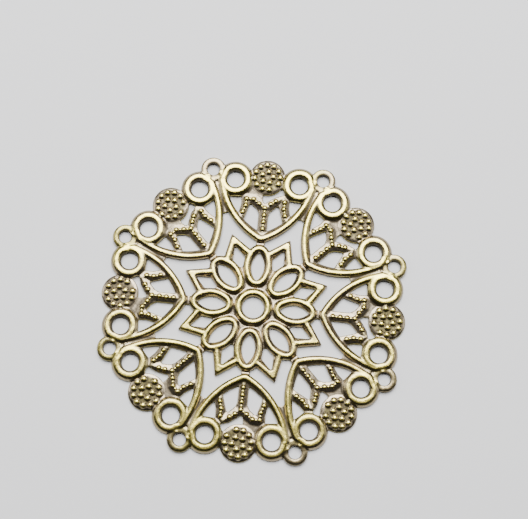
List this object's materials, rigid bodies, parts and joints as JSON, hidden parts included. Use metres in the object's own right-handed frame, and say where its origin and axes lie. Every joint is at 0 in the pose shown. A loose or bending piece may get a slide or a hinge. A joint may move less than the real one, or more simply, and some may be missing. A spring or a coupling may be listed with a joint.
{
  "type": "filigree stamping",
  "caption": "Round pierced brass filigree with raised heart, petal and ring outlines, a holed centre and eyelets round the rim, for hanging or joining jewellery.",
  "frame": {"origin": "centre of the stamping, on the flat back that it rests on", "axes": "+Z out of the raised face, +Y from the centre through the middle of a heart and its rosette on the rim, +X to the right"},
  "size_m": [0.0408, 0.0408, 0.0009],
  "materials": {
    "antique_brass": "antiqued, dark in the recesses and rubbed bright on the ridges"
  },
  "bodies": {
    "root": {"filigree_stamping": "antique_brass"}
  },
  "joints": []
}
